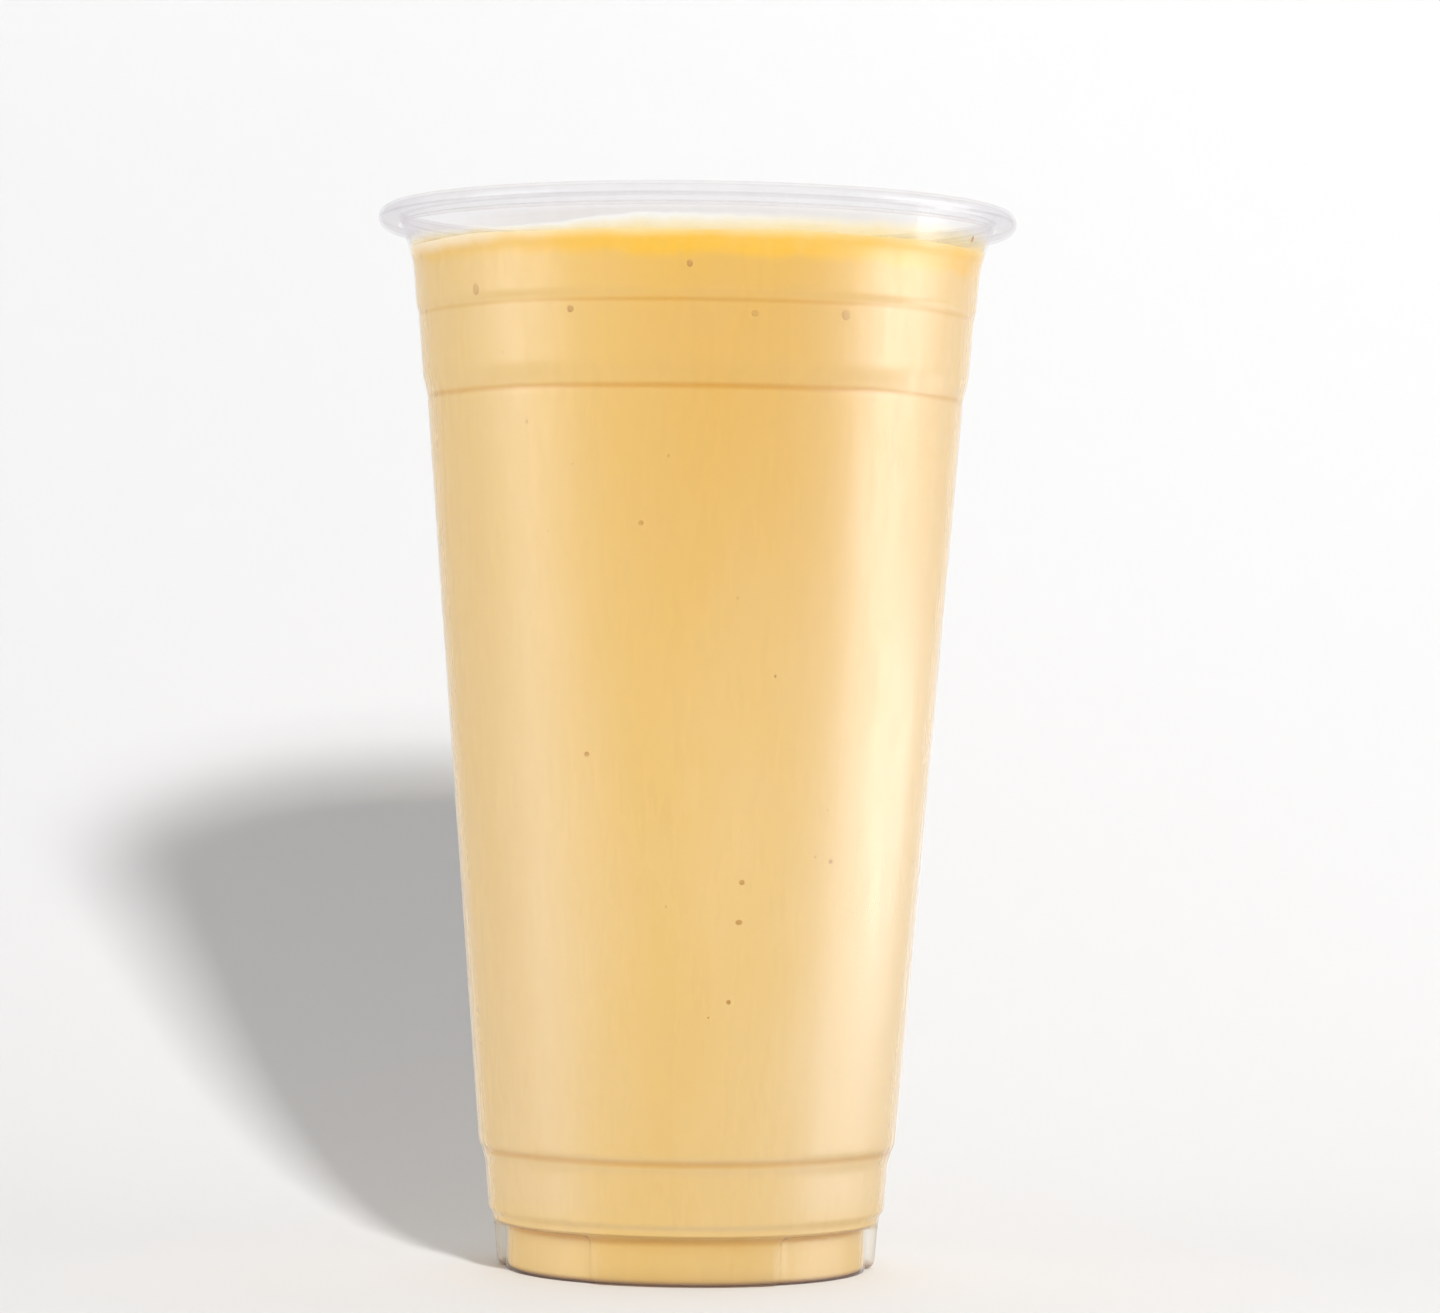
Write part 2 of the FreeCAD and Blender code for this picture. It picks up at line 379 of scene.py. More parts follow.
def sweepPaper():
    look = paperLook
    material, tree = newMaterial("paleSweep")
    place = placeOf(tree)
    cloud = noiseOf(tree, place, look["cloudScale"], 2.0)
    colour = mixColours(tree, ramp(tree, cloud, 0.3, 0.7, 0.0, 1.0), look["table"], look["cloud"])
    grain = noiseOf(tree, place, look["grainScale"], 2.0)
    grainInputs = {"Height": grain, "Strength": look["grainStrength"], "Distance": look["grainDepth"]}
    bump = addNode(tree, "ShaderNodeBump", grainInputs)
    paper = addNode(tree, "ShaderNodeBsdfPrincipled", {
        "Base Color": colour,
        "Roughness": look["roughness"],
        "Specular IOR Level": look["shine"],
        "Normal": bump.outputs[0],
    })
    # far from the cup, the paper fades into the light of the room
    glow = addNode(tree, "ShaderNodeEmission", {"Color": look["room"], "Strength": 1.0})
    path = addNode(tree, "ShaderNodeLightPath")
    x, y, z = axesOf(tree)
    away = maths(tree, "SQRT", maths(tree, "MULTIPLY_ADD", x, x, maths(tree, "MULTIPLY", y, y)))
    share = ramp(tree, away, stageSizes["fadeFrom"], stageSizes["fadeTo"], 0.0, 1.0)
    share = maths(tree, "MULTIPLY", share, path.outputs["Is Camera Ray"])
    lit = mixShaders(tree, share, paper, glow)
    # bounced light sees plain paper
    plain = addNode(tree, "ShaderNodeBsdfDiffuse", {"Color": look["table"]})
    lit = mixShaders(tree, path.outputs["Is Camera Ray"], plain, lit)
    # seen from behind, the sweep isn't there, and light from below reaches the underside of the foot
    clear = addNode(tree, "ShaderNodeBsdfTransparent")
    behind = addNode(tree, "ShaderNodeNewGeometry").outputs["Backfacing"]
    under = maths(tree, "LESS_THAN", away, stageSizes["underFoot"])
    under = maths(tree, "MULTIPLY", under, path.outputs["Is Diffuse Ray"])
    return showOn(material, mixShaders(tree, maths(tree, "MAXIMUM", behind, under), lit, clear))


def makeSweep():
    s = stageSizes
    line = [(s["front"], 0.0), (s["floorMiddle"], 0.0), (s["bendStart"], 0.0)]
    for turn in np.radians(90 * np.arange(1, s["bendSteps"] + 1) / s["bendSteps"]):
        y = s["bendStart"] + s["bendRadius"] * math.sin(turn)
        line.append((y, s["bendRadius"] * (1 - math.cos(turn))))
    line.append((line[-1][0], s["top"]))
    vertices = [(x, y, z) for y, z in line for x in (-s["side"], s["side"])]
    faces = [(2 * i, 2 * i + 1, 2 * i + 3, 2 * i + 2) for i in range(len(line) - 1)]
    sweep = meshPiece("tableSweep", vertices, faces)
    sweep.data.materials.append(sweepPaper())
    return sweep


tableSweep = makeSweep()
print("stage made")

# camera, level with the middle of the cup
cameraSizes = {
    "distance": 0.802,
    "height": 0.086,
    "lens": 130.4,
    "sensor": 36.0,
    "aimRight": 0.301,
    "aimUp": 0.566,
    "roll": 0.67,
}


def makeCamera():
    c = cameraSizes
    data = bpy.data.cameras.new("drinkCamera")
    data.lens = c["lens"]
    data.sensor_width = c["sensor"]
    data.clip_start = 0.01
    camera = bpy.data.objects.new("drinkCamera", data)
    bpy.context.scene.collection.objects.link(camera)
    camera.location = (0, -c["distance"], c["height"])
    right = math.radians(c["aimRight"])
    up = math.radians(c["aimUp"])
    look = Vector((math.sin(right) * math.cos(up), math.cos(right) * math.cos(up), math.sin(up)))
    turn = look.to_track_quat("-Z", "Y").to_matrix().to_4x4()
    roll = math.radians(c["roll"])
    camera.rotation_euler = (turn @ Matrix.Rotation(roll, 4, "Z")).to_euler()
    bpy.context.scene.camera = camera


makeCamera()

# each lamp: degrees round to the right, degrees up, distance, width and height in metres, watts
studioLamps = {
    "rightBox": (80, 22, 0.80, 0.55, 0.75, 1.3),
    "rightSheen": (96, 4, 0.80, 0.75, 0.95, 7.0),
    "edgeSheen": (114, -10, 0.36, 0.26, 0.10, 0.42),
    "leftBox": (-72, 14, 0.95, 0.60, 0.85, 2.9),
    "frontFill": (-20, 28, 1.30, 0.70, 0.70, 3.8),
    "frontLamp": (24, 23, 1.25, 0.34, 0.34, 3.8),
    "shadowLamp": (15.5, 27.5, 1.30, 0.12, 0.12, 16.9),
}
glossOnly = ("rightSheen", "edgeSheen")  # these show as sheen and light nothing
noGloss = ("frontLamp", "frontFill", "shadowLamp")  # these don't show in the plastic
stageOnly = ("shadowLamp",)  # lights the table alone, which the other lamps leave out
lampColour = (1.0, 0.998, 0.992)
lampAim = Vector((0, 0, 0.08))
worldLight = {"diffuse": 0.40, "seen": 0.957}
lightBounces = {
    "max_bounces": 5,
    "diffuse_bounces": 3,
    "glossy_bounces": 2,
    "transparent_max_bounces": 24,  # thin sheets lie many deep at the rim
}
stageLit = bpy.data.collections.new("stageLit")
cupLit = bpy.data.collections.new("cupLit")


def makeLamps():
    for name, (turn, rise, distance, wide, tall, watts) in studioLamps.items():
        data = bpy.data.lights.new(name, "AREA")
        data.shape = "RECTANGLE"
        data.size = wide
        data.size_y = tall
        data.energy = watts
        data.color = lampColour
        lamp = bpy.data.objects.new(name, data)
        bpy.context.scene.collection.objects.link(lamp)
        a = math.radians(turn)
        e = math.radians(rise)
        way = Vector((math.sin(a) * math.cos(e), -math.cos(a) * math.cos(e), math.sin(e)))
        lamp.location = lampAim + way * distance
        lamp.rotation_euler = (-way).to_track_quat("-Z", "Y").to_euler()
        lamp.visible_diffuse = name not in glossOnly
        lamp.visible_transmission = name not in glossOnly
        lamp.visible_glossy = name not in noGloss
        lamp.light_linking.receiver_collection = stageLit if name in stageOnly else cupLit


def makeWorld():
    world = bpy.data.worlds.new("studio")
    bpy.context.scene.world = world
    world.use_nodes = True
    tree = world.node_tree
    tree.nodes.clear()
    path = addNode(tree, "ShaderNodeLightPath")
    seen = maths(tree, "MAXIMUM", path.outputs["Is Camera Ray"], path.outputs["Is Glossy Ray"])
    seen = maths(tree, "MAXIMUM", seen, path.outputs["Is Transmission Ray"])
    strength = ramp(tree, seen, 0.0, 1.0, worldLight["diffuse"], worldLight["seen"], smooth=False)
    light = addNode(tree, "ShaderNodeBackground", {"Color": (1.0, 1.0, 1.0, 1), "Strength": strength})
    addNode(tree, "ShaderNodeOutputWorld", {0: light.outputs[0]})
    bpy.context.scene.view_settings.view_transform = "Standard"
    cycles = bpy.context.scene.cycles
    for kind, bounces in lightBounces.items():
        setattr(cycles, kind, bounces)


makeLamps()
makeWorld()
print("camera and lamps made")

# clear plastic of the cup
plasticLook = {
    "faceOn": (0.975, 0.972, 0.975, 1),  # light let through, looking straight at the sheet
    "edgeOn": (0.88, 0.87, 0.885, 1),
    "flare": (0.920, 0.904, 0.896, 1),
    "flareAside": (0.968, 0.960, 0.966, 1),
    "flareEdgeOn": (0.85, 0.84, 0.865, 1),
    "curl": (0.976, 0.974, 0.976, 1),
    "curlEdgeOn": (0.92, 0.912, 0.928, 1),
    "creaseShade": (0.90, 0.78, 0.52, 1),
    "foot": (0.995, 0.985, 0.945, 1),
    # painted contact shadow on the ring that the cup stands on
    "stand": (0.55, 0.40, 0.30, 1),
    "rimLine": (0.86, 0.85, 0.85, 1),
    "wetFaceOn": (0.996, 0.995, 0.993, 1),  # where the film wets the sheet
    "wetEdgeOn": (0.972, 0.966, 0.955, 1),
    "mirrorFaceOn": 0.022,
    "mirrorEdgeOn": 0.50,
    "sheen": 0.62,
    "sheenMost": 0.155,
    "sheenEdgeOn": 0.20,  # more than that right at the sides
    "haze": 0.03,
    "hazeColour": (0.86, 0.85, 0.87, 1),
}
# roughness of each kind of shine, from smoother to rougher patches of the sheet
plasticRough = {
    "wall": (0.24, 0.34),
    "rim": (0.15, 0.25),
    "sheen": (0.42, 0.52),
}
# scale of each unevenness of the sheet
plasticGrain = {
    "slow": 55.0,
    "fine": 1400.0,
    "fineShare": 0.0015,
    "bumpStrength": 0.35,
    "bumpDepth": 0.0006,
    "scuffs": 260.0,
    "cloud": 120.0,
}
# heights in metres over which a tone or a sheen comes in or goes
plasticHeights = {
    "foot": (0.0070, 0.0078),
    "footSheen": (0.0070, 0.0130),
    "wallSheen": (0.030, 0.135),
    # heights of the painted contact shadow
    "stand": (0.0001, 0.0011),
    "rim": ((wallTop - 0.5) * mm, (wallTop + 2.0) * mm),
    "curl": ((cupHeight - 4.2) * mm, (cupHeight - 2.8) * mm),
    "rimLine": (curlMiddle[1] - 0.1) * mm,
    "rimLineHalf": 0.0003,
}


# painted shade: a darker line along each crease, strongest at its middle
def creaseShadeShare(tree, z):
    total = None
    for height, half, depth, strength in cupCreases:
        line = ramp(tree, awayFrom(tree, z, height * mm), 0.0, half * mm, strength, 0.0)
        total = line if total is None else maths(tree, "MAXIMUM", total, line)
    return total


# tint of the light let through; wetLine is the height that the film's edge is read from
def sheetTint(tree, facing, rimZone, wetLine):
    look = plasticLook
    at = plasticHeights
    x, y, z = axesOf(tree)
    edge = maths(tree, "POWER", facing, 3.2)
    wallTint = mixColours(tree, edge, look["faceOn"], look["edgeOn"])
    wetTint = mixColours(tree, edge, look["wetFaceOn"], look["wetEdgeOn"])
    curlTint = mixColours(tree, edge, look["curl"], look["curlEdgeOn"])
    aside = ramp(tree, facing, 0.08, 0.45, 0.0, 1.0)
    flareTint = mixColours(tree, aside, look["flare"], look["flareAside"])
    flareTint = mixColours(tree, maths(tree, "POWER", facing, 6.0), flareTint, look["flareEdgeOn"])
    wetTop = wetUpTo(tree, x)
    dryFrom = maths(tree, "SUBTRACT", wetTop, ramp(tree, x, -0.010, 0.030, 0.0004, 0.0022))
    tint = mixColours(tree, rimZone, wallTint, wetTint)
    tint = mixColours(tree, ramp(tree, wetLine, dryFrom, wetTop, 0.0, 1.0), tint, flareTint)
    tint = mixColours(tree, ramp(tree, z, *at["curl"], 0.0, 1.0), tint, curlTint)
    fromRimLine = awayFrom(tree, z, at["rimLine"])
    # painted shade: darker lines along the creases, and a painted contact shadow on the ring the cup
    # stands on; the foot and a line round the rim are tinted as well
    darker = (
        (creaseShadeShare(tree, z), "creaseShade"),
        (ramp(tree, z, *at["foot"], 1.0, 0.0), "foot"),
        (ramp(tree, z, *at["stand"], 0.85, 0.0), "stand"),
        (ramp(tree, fromRimLine, 0.0, at["rimLineHalf"], 0.55, 0.0), "rimLine"),
    )
    for share, name in darker:
        tint = mixColours(tree, share, tint, look[name], "MULTIPLY")
    return tint


# broad soft sheen of the wall, stronger towards its sides and weak in the foot and on the rim
def sheenOf(tree, facing, rimZone):
    look = plasticLook
    at = plasticHeights
    x, y, z = axesOf(tree)
    share = maths(tree, "MINIMUM", maths(tree, "MULTIPLY", facing, look["sheen"]), look["sheenMost"])
    share = maths(tree, "ADD", share, ramp(tree, facing, 0.68, 0.88, 0.0, look["sheenEdgeOn"]))
    share = maths(tree, "MULTIPLY", share, ramp(tree, z, *at["footSheen"], 0.55, 1.0))
    share = maths(tree, "MULTIPLY", share, ramp(tree, z, *at["wallSheen"], 1.0, 0.62))
    return maths(tree, "MULTIPLY", share, maths(tree, "SUBTRACT", 1.0, rimZone))


def clearPlastic():
    look = plasticLook
    grain = plasticGrain
    material, tree = newMaterial("clearCupPlastic")
    x, y, z = axesOf(tree)
    rimZone = ramp(tree, z, *plasticHeights["rim"], 0.0, 1.0)
    facing = addNode(tree, "ShaderNodeLayerWeight", {"Blend": 0.5}).outputs["Facing"]
    grazing = maths(tree, "POWER", facing, 8.0)
    mirror = maths(tree, "MULTIPLY_ADD", grazing, look["mirrorEdgeOn"], look["mirrorFaceOn"])
    sheenShare = sheenOf(tree, facing, rimZone)

    slow = noiseOf(tree, placeOf(tree, (1, 1, 0.35)), grain["slow"], 2.0, 0.45)
    fine = noiseOf(tree, placeOf(tree), grain["fine"], 2.0, 0.6)
    height = maths(tree, "MULTIPLY_ADD", fine, grain["fineShare"], slow)
    bumpInputs = {"Height": height, "Strength": grain["bumpStrength"], "Distance": grain["bumpDepth"]}
    bump = addNode(tree, "ShaderNodeBump", bumpInputs)
    scuffs = noiseOf(tree, placeOf(tree, (1, 1, 0.2)), grain["scuffs"], 4.0, 0.6)
    wallRough = ramp(tree, scuffs, 0.35, 0.75, *plasticRough["wall"])
    rimRough = ramp(tree, scuffs, 0.35, 0.75, *plasticRough["rim"])
    rough = addNode(tree, "ShaderNodeMix", {0: rimZone, 2: wallRough, 3: rimRough}).outputs[0]
    gloss = addNode(tree, "ShaderNodeBsdfGlossy", {
        "Color": (1, 1, 1, 1),
        "Roughness": rough,
        "Normal": bump.outputs[0],
    })
    broad = ramp(tree, scuffs, 0.3, 0.8, *plasticRough["sheen"])
    sheen = addNode(tree, "ShaderNodeBsdfGlossy", {"Color": (1, 1, 1, 1), "Roughness": broad})
    haze = addNode(tree, "ShaderNodeBsdfDiffuse", {"Color": look["hazeColour"], "Roughness": 0.5})
    cloud = noiseOf(tree, placeOf(tree, (1, 1, 0.5)), grain["cloud"], 3.0, 0.55)
    rimHaze = maths(tree, "ADD", 0.55, rimZone)
    hazy = ramp(tree, cloud, 0.35, 0.7, look["haze"] * 0.4, look["haze"] * 1.4)
    hazy = maths(tree, "MULTIPLY", hazy, rimHaze)

    wetLine = centred(tree, raggedNoise(tree), topEdge["raggedBy"], z)
    tint = sheetTint(tree, facing, rimZone, wetLine)
    clear = addNode(tree, "ShaderNodeBsdfTransparent", {"Color": tint})
    sheet = mixShaders(tree, hazy, clear, haze)
    sheet = mixShaders(tree, sheenShare, sheet, sheen)
    sheet = mixShaders(tree, mirror, sheet, gloss)
    # shadows take a short way: the same light let through, with no noise to work out
    passed = maths(tree, "MULTIPLY_ADD", rimHaze, look["haze"] * -0.9, 1.0)
    for share in (sheenShare, mirror):
        passed = maths(tree, "MULTIPLY", passed, maths(tree, "SUBTRACT", 1.0, share))
    dimmed = mixColours(tree, passed, (0, 0, 0, 1), sheetTint(tree, facing, rimZone, z))
    shade = addNode(tree, "ShaderNodeBsdfTransparent", {"Color": dimmed})
    path = addNode(tree, "ShaderNodeLightPath")
    shortWay = path.outputs["Is Shadow Ray"]
    return showOn(material, mixShaders(tree, shortWay, sheet, shade))


def cupRows(angles):
    c = cupSizes
    lug = lugShare(angles)
    sheet = c["sheet"]
    floorStart = c["standInner"] - c["standTaper"]
    standMiddle = (c["standMiddle"], 0.0)
    rows = [(0, c["recess"]), (8.0, c["recess"]), (16.0, c["recess"])]
    rows += roundedOutline([
        (20.0, c["recess"], 0), (floorStart, c["recess"], 0.8),
        (c["standInner"], 0.0, 0.45), (*standMiddle, 0),
    ])[:-1]
    # the foot outside: one outline on the lugs and one in the hollows, blended at each lug's end
    join = 7.9
    footRows = 30
    corner = [
        (c["footRadius"] - c["footCorner"] * (1 - math.sin(t)), c["footCorner"] * (1 - math.cos(t)))
        for t in np.radians(np.linspace(0, 90, 9))
    ]
    onLug = evenPoints([standMiddle] + corner + [(float(outsideRadius(join)), join)], footRows)
    inHollow = roundedOutline([
        (*standMiddle, 0), (c["hollowRadius"], 0.0, 0.35), (c["hollowRadius"], c["hollowTop"], 0.45),
        (float(outsideRadius(c["hollowTop"])), c["hollowTop"], 0.3), (float(outsideRadius(join)), join, 0),
    ])
    for (lugR, lugZ), (hollowR, hollowZ) in zip(onLug, evenPoints(inHollow, footRows)):
        rows.append((lug * lugR + (1 - lug) * hollowR, lug * lugZ + (1 - lug) * hollowZ))
    for z in wallHeights(join + 0.3, float(flareOuterEnd[1])):
        rows.append((outsideRadius(z) + sheetWave(angles, z), z))
    # under the curl, round its tip, over the rim and down inside the flare
    curlEnd = math.radians(c["curlEnd"])
    for a in np.linspace(flareJoin, curlEnd, 26)[1:]:
        rows.append(onCurl(innerCurl, a))
    middle = onCurl(c["curlRadius"] - sheet / 2, curlEnd)
    for t in np.radians((30, 60, 90, 120, 150)):
        out = sheet / 2 * -math.cos(t)
        on = sheet / 2 * math.sin(t)
        r = middle[0] + out * math.cos(curlEnd) + on * math.sin(curlEnd)
        z = middle[1] + out * math.sin(curlEnd) - on * math.cos(curlEnd)
        rows.append((r, z))
    for a in np.linspace(curlEnd, flareJoin, 34):
        rows.append(onCurl(c["curlRadius"], a))
    flareInnerEnd = onCurl(c["curlRadius"], flareJoin)
    for z in wallHeights(9.2, float(flareInnerEnd[1]) - 0.2)[::-1]:
        rows.append((wallFace(z, sheet) + sheetWave(angles, z), z))
    insideRadius = c["hollowRadius"] - sheet
    rows += roundedOutline([
        (float(wallFace(9.2, sheet)), 9.0, 0), (float(wallFace(8.3, sheet)), 8.1, 0.5),
        (insideRadius, 7.6, 0.5), (insideRadius, sheet, 1.0), (c["standInner"] + sheet, sheet, 0.6),
        (floorStart + sheet, c["recess"] + sheet, 0.8), (18.0, c["recess"] + sheet, 0),
    ])
    rows += [(9.0, c["recess"] + sheet), (0, c["recess"] + sheet)]
    return rows


def makeCup():
    angles = columnAngles()
    shell = turnedMesh("cupShell", cupRows(angles), angles)
    shell.data.materials.append(clearPlastic())
    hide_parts("cup")
    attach(shell, "root")
    print("cup shell made:", len(shell.data.polygons), "faces")


makeCup()

# colours shared by the drink and the golden layer, so that one runs into the other
mangoColours = {
    "milk": (0.845, 0.577, 0.188, 1),
    "paleMilk": (0.868, 0.612, 0.240, 1),
    "deepMilk": (0.812, 0.522, 0.122, 1),
    # painted shade: darker milk for the middle of the front
    "shadedMilk": (0.770, 0.476, 0.112, 1),
    "golden": (0.905, 0.530, 0.035, 1),
    "goldenPale": (0.905, 0.575, 0.100, 1),
    "cream": (0.985, 0.800, 0.450, 1),
    "paleCream": (1.0, 0.870, 0.660, 1),
    "bubblePale": (0.97, 0.88, 0.66, 1),
    "amber": (0.55, 0.28, 0.055, 1),
    "paleAmber": (0.69, 0.40, 0.10, 1),
    "filmFoot": (0.98, 0.74, 0.30, 1),
    "filmTop": (1.0, 0.94, 0.80, 1),
}
# scale of each noise in the drink and on its surface
mangoGrain = {
    "drift": 24.0,
    "mottle": 210.0,
    "ragged": 130.0,
    "pulp": 420.0,
    "soft": 70.0,
    "slow": 22.0,
    "swirl": 34.0,
    "thin": 75.0,
    "fine": 600.0,
}
# places in metres over which a tone comes in: heights, and for the last ones distances to the right
mangoPlaces = {
    # heights and places of the painted shade on the milk
    "shadeHeights": (0.045, 0.140),
    "veil": (0.144, 0.1524),
    "band": (0.1513, 0.1533),
    "cream": (0.1542, 0.1566),
    "creamDeeper": (-0.0008, -0.0007),
    "raggedBand": 0.0032,
    "raggedCream": 0.0015,
    "shadeMiddle": 0.008,
    "shadeSides": (0.004, 0.044),
    "paleLeft": (-0.042, -0.012),
    "weakLeft": (-0.036, -0.010),
}


def mangoTones():
    look = mangoColours
    at = mangoPlaces
    grain = mangoGrain
    tree = bpy.data.node_groups.new("mangoTones", "ShaderNodeTree")
    tree.interface.new_socket("Colour", in_out="OUTPUT", socket_type="NodeSocketColor")
    x, y, z = axesOf(tree)
    drift = noiseOf(tree, placeOf(tree, (1, 1, 0.30)), grain["drift"], 3.0, 0.5, 0.6)
    mottle = noiseOf(tree, placeOf(tree, (1, 1, 0.7)), grain["mottle"], 4.0, 0.6)
    base = mixColours(tree, ramp(tree, drift, 0.35, 0.68, 0.0, 1.0), look["milk"], look["paleMilk"])
    base = mixColours(tree, ramp(tree, mottle, 0.45, 0.8, 0.0, 0.12), base, look["deepMilk"])
    # painted shade: the milk is darker high up in the middle of the front and back, a little to the right,
    # and fades out towards the sides
    aside = awayFrom(tree, x, at["shadeMiddle"])
    frontShade = ramp(tree, z, *at["shadeHeights"], 0.0, 1.0)
    frontShade = maths(tree, "MULTIPLY", frontShade, ramp(tree, aside, *at["shadeSides"], 1.0, 0.0))
    base = mixColours(tree, frontShade, base, look["shadedMilk"])
    # golden band, whose foot follows the tilted layer and is ragged and soft
    ragged = noiseOf(tree, placeOf(tree, (1, 1, 0.5)), grain["ragged"], 4.0, 0.55)
    lifted = centred(tree, ragged, at["raggedBand"], z)
    lifted = maths(tree, "MULTIPLY_ADD", x, math.tan(math.radians(drinkSizes["layerTilt"])), lifted)
    band = ramp(tree, lifted, *at["band"], 0.0, 0.78)
    veil = ramp(tree, lifted, *at["veil"], 0.0, 0.22)
    weaker = ramp(tree, x, *at["weakLeft"], 0.65, 1.0)
    golden = maths(tree, "MULTIPLY", maths(tree, "ADD", band, veil), weaker)
    gold = mixColours(tree, ramp(tree, mottle, 0.4, 0.75, 0.0, 0.5), look["golden"], look["goldenPale"])
    colour = mixColours(tree, golden, base, gold)
    # the cream at the top edge is deeper and paler towards the left
    leftSide = ramp(tree, x, *at["paleLeft"], 1.0, 0.0)
    low, high = (
        maths(tree, "MULTIPLY_ADD", leftSide, deeper, height)
        for deeper, height in zip(at["creamDeeper"], at["cream"])
    )
    creamy = ramp(tree, centred(tree, ragged, at["raggedCream"], z), low, high, 0.0, 0.88)
    cream = mixColours(tree, leftSide, look["cream"], look["paleCream"])
    colour = mixColours(tree, creamy, colour, cream)
    ends = addNode(tree, "NodeGroupOutput")
    tree.links.new(colour, ends.inputs[0])
    return tree


mangoGroup = mangoTones()


def drinkMaterial():
    material, tree = newMaterial("mangoMilk")
    tones = addNode(tree, "ShaderNodeGroup", node_tree=mangoGroup)
    pulp = noiseOf(tree, placeOf(tree), mangoGrain["pulp"], 4.0, 0.6)
    soft = noiseOf(tree, placeOf(tree, (1, 1, 0.4)), mangoGrain["soft"], 2.0, 0.5)
    height = maths(tree, "MULTIPLY_ADD", pulp, 0.3, soft)
    bump = addNode(tree, "ShaderNodeBump", {"Height": height, "Strength": 0.10, "Distance": 0.0004})
    return showOn(material, addNode(tree, "ShaderNodeBsdfPrincipled", {
        "Base Color": tones.outputs[0],
        "Roughness": ramp(tree, pulp, 0.3, 0.7, 0.42, 0.60),
        "Specular IOR Level": 0.12,
        "Normal": bump.outputs[0],
    }))


# height of the golden layer's underside
def layerUnderside(x, y):
    tilt = math.tan(math.radians(drinkSizes["layerTilt"]))
    middle = layerFoot + tilt * outsideRadius(drinkLevel)
    angle = np.arctan2(y, x)
    wave = np.sin(3 * angle + 0.6) + 0.6 * np.sin(7 * angle + 2.2) + 0.4 * np.sin(13 * angle + 5.0)
    return middle - tilt * x + drinkSizes["layerWave"] * wave * np.clip(np.hypot(x, y) / 40, 0, 1)


layerRings = (42.6, 36.0, 26.0, 15.0, 6.0)  # radii of the rows across the drink, where milk meets layer


def undersideAt(radius, angles):
    return layerUnderside(radius * np.cos(angles), radius * np.sin(angles))


def sideRadius(angles, z):
    wall = wallFace(z, drinkSizes["intoWall"]) + sheetWave(angles, z)
    foot = drinkSizes["footRadius"]
    return foot + (wall - foot) * smoothRise(7.15, 7.7, z)


def makeDrink():
    c = cupSizes
    angles = columnAngles()
    half = drinkSizes["intoWall"]
    footRadius = drinkSizes["footRadius"]
    foot = roundedOutline([
        (18.0, c["recess"] + half, 0), (c["standInner"] - c["standTaper"] + half, c["recess"] + half, 0.8),
        (c["standInner"] + half, half, 0.5), (footRadius, half, 1.1), (footRadius, 6.9, 0),
    ])
    rows = [(0, c["recess"] + half), (9.0, c["recess"] + half)] + foot
    topZ = undersideAt(40, angles)
    low = float(topZ.min()) - 1.2
    for z in (7.1, 7.2, 7.3, 7.42, 7.54, 7.64, 7.76, *wallHeights(7.9, low)):
        rows.append((sideRadius(angles, z), z))
    for share in (0.4, 0.8, 1.0):
        z = low + (topZ - low) * share
        rows.append((sideRadius(angles, z), z))
    for more in (0.3, 0.7):
        rows.append((sideRadius(angles, topZ + more) - 0.03, topZ + more))
    overlap = 0.4  # the milk goes this far up into the layer
    for r in layerRings:
        rows.append((r, undersideAt(r, angles) + overlap))
    rows.append((0, layerUnderside(0, 0) + overlap))
    body = turnedMesh("drinkBody", rows, angles)
    body.data.materials.append(drinkMaterial())
    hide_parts("drink")
    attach(body, "root")
    print("drink made:", len(body.data.polygons), "faces")


makeDrink()


# a thin pale line wherever the noise passes through one value
def vein(tree, value, middle, half, strength):
    return ramp(tree, awayFrom(tree, value, middle), 0.0, half, strength, 0.0)


def surfaceMaterial():
    look = mangoColours
    material, tree = newMaterial("mangoSurface")
    place = placeOf(tree)
    slow = noiseOf(tree, place, mangoGrain["slow"], 2.0, 0.5, 1.2)
    swirl = noiseOf(tree, place, mangoGrain["swirl"], 3.0, 0.5, 2.6)
    thin = noiseOf(tree, place, mangoGrain["thin"], 4.0, 0.55, 1.8)
    fine = noiseOf(tree, place, mangoGrain["fine"], 3.0, 0.6)
    veins = vein(tree, swirl, 0.52, 0.055, 0.75)
    cream = maths(tree, "MAXIMUM", veins, vein(tree, thin, 0.48, 0.035, 0.45))
    cream = maths(tree, "MULTIPLY", cream, ramp(tree, slow, 0.38, 0.62, 0.15, 1.0))
    x, y, z = axesOf(tree)
    middle = maths(tree, "SQRT", maths(tree, "MULTIPLY_ADD", x, x, maths(tree, "MULTIPLY", y, y)))
    nearWall = ramp(tree, maths(tree, "MULTIPLY_ADD", thin, 0.006, middle), 0.0425, 0.0465, 0.0, 0.7)
    cream = maths(tree, "MAXIMUM", cream, nearWall)
    base = mixColours(tree, ramp(tree, slow, 0.35, 0.7, 0.1, 0.8), look["golden"], look["goldenPale"])
    colour = mixColours(tree, cream, base, look["cream"])
    colour = mixColours(tree, ramp(tree, fine, 0.5, 0.8, 0.0, 0.20), colour, look["milk"])
    raised = maths(tree, "MULTIPLY_ADD", fine, 0.2, cream)
    bump = addNode(tree, "ShaderNodeBump", {"Height": raised, "Strength": 0.22, "Distance": 0.0004})
    return showOn(material, addNode(tree, "ShaderNodeBsdfPrincipled", {
        "Base Color": colour,
        "Roughness": ramp(tree, fine, 0.3, 0.75, 0.20, 0.38),
        "Normal": bump.outputs[0],
    }))


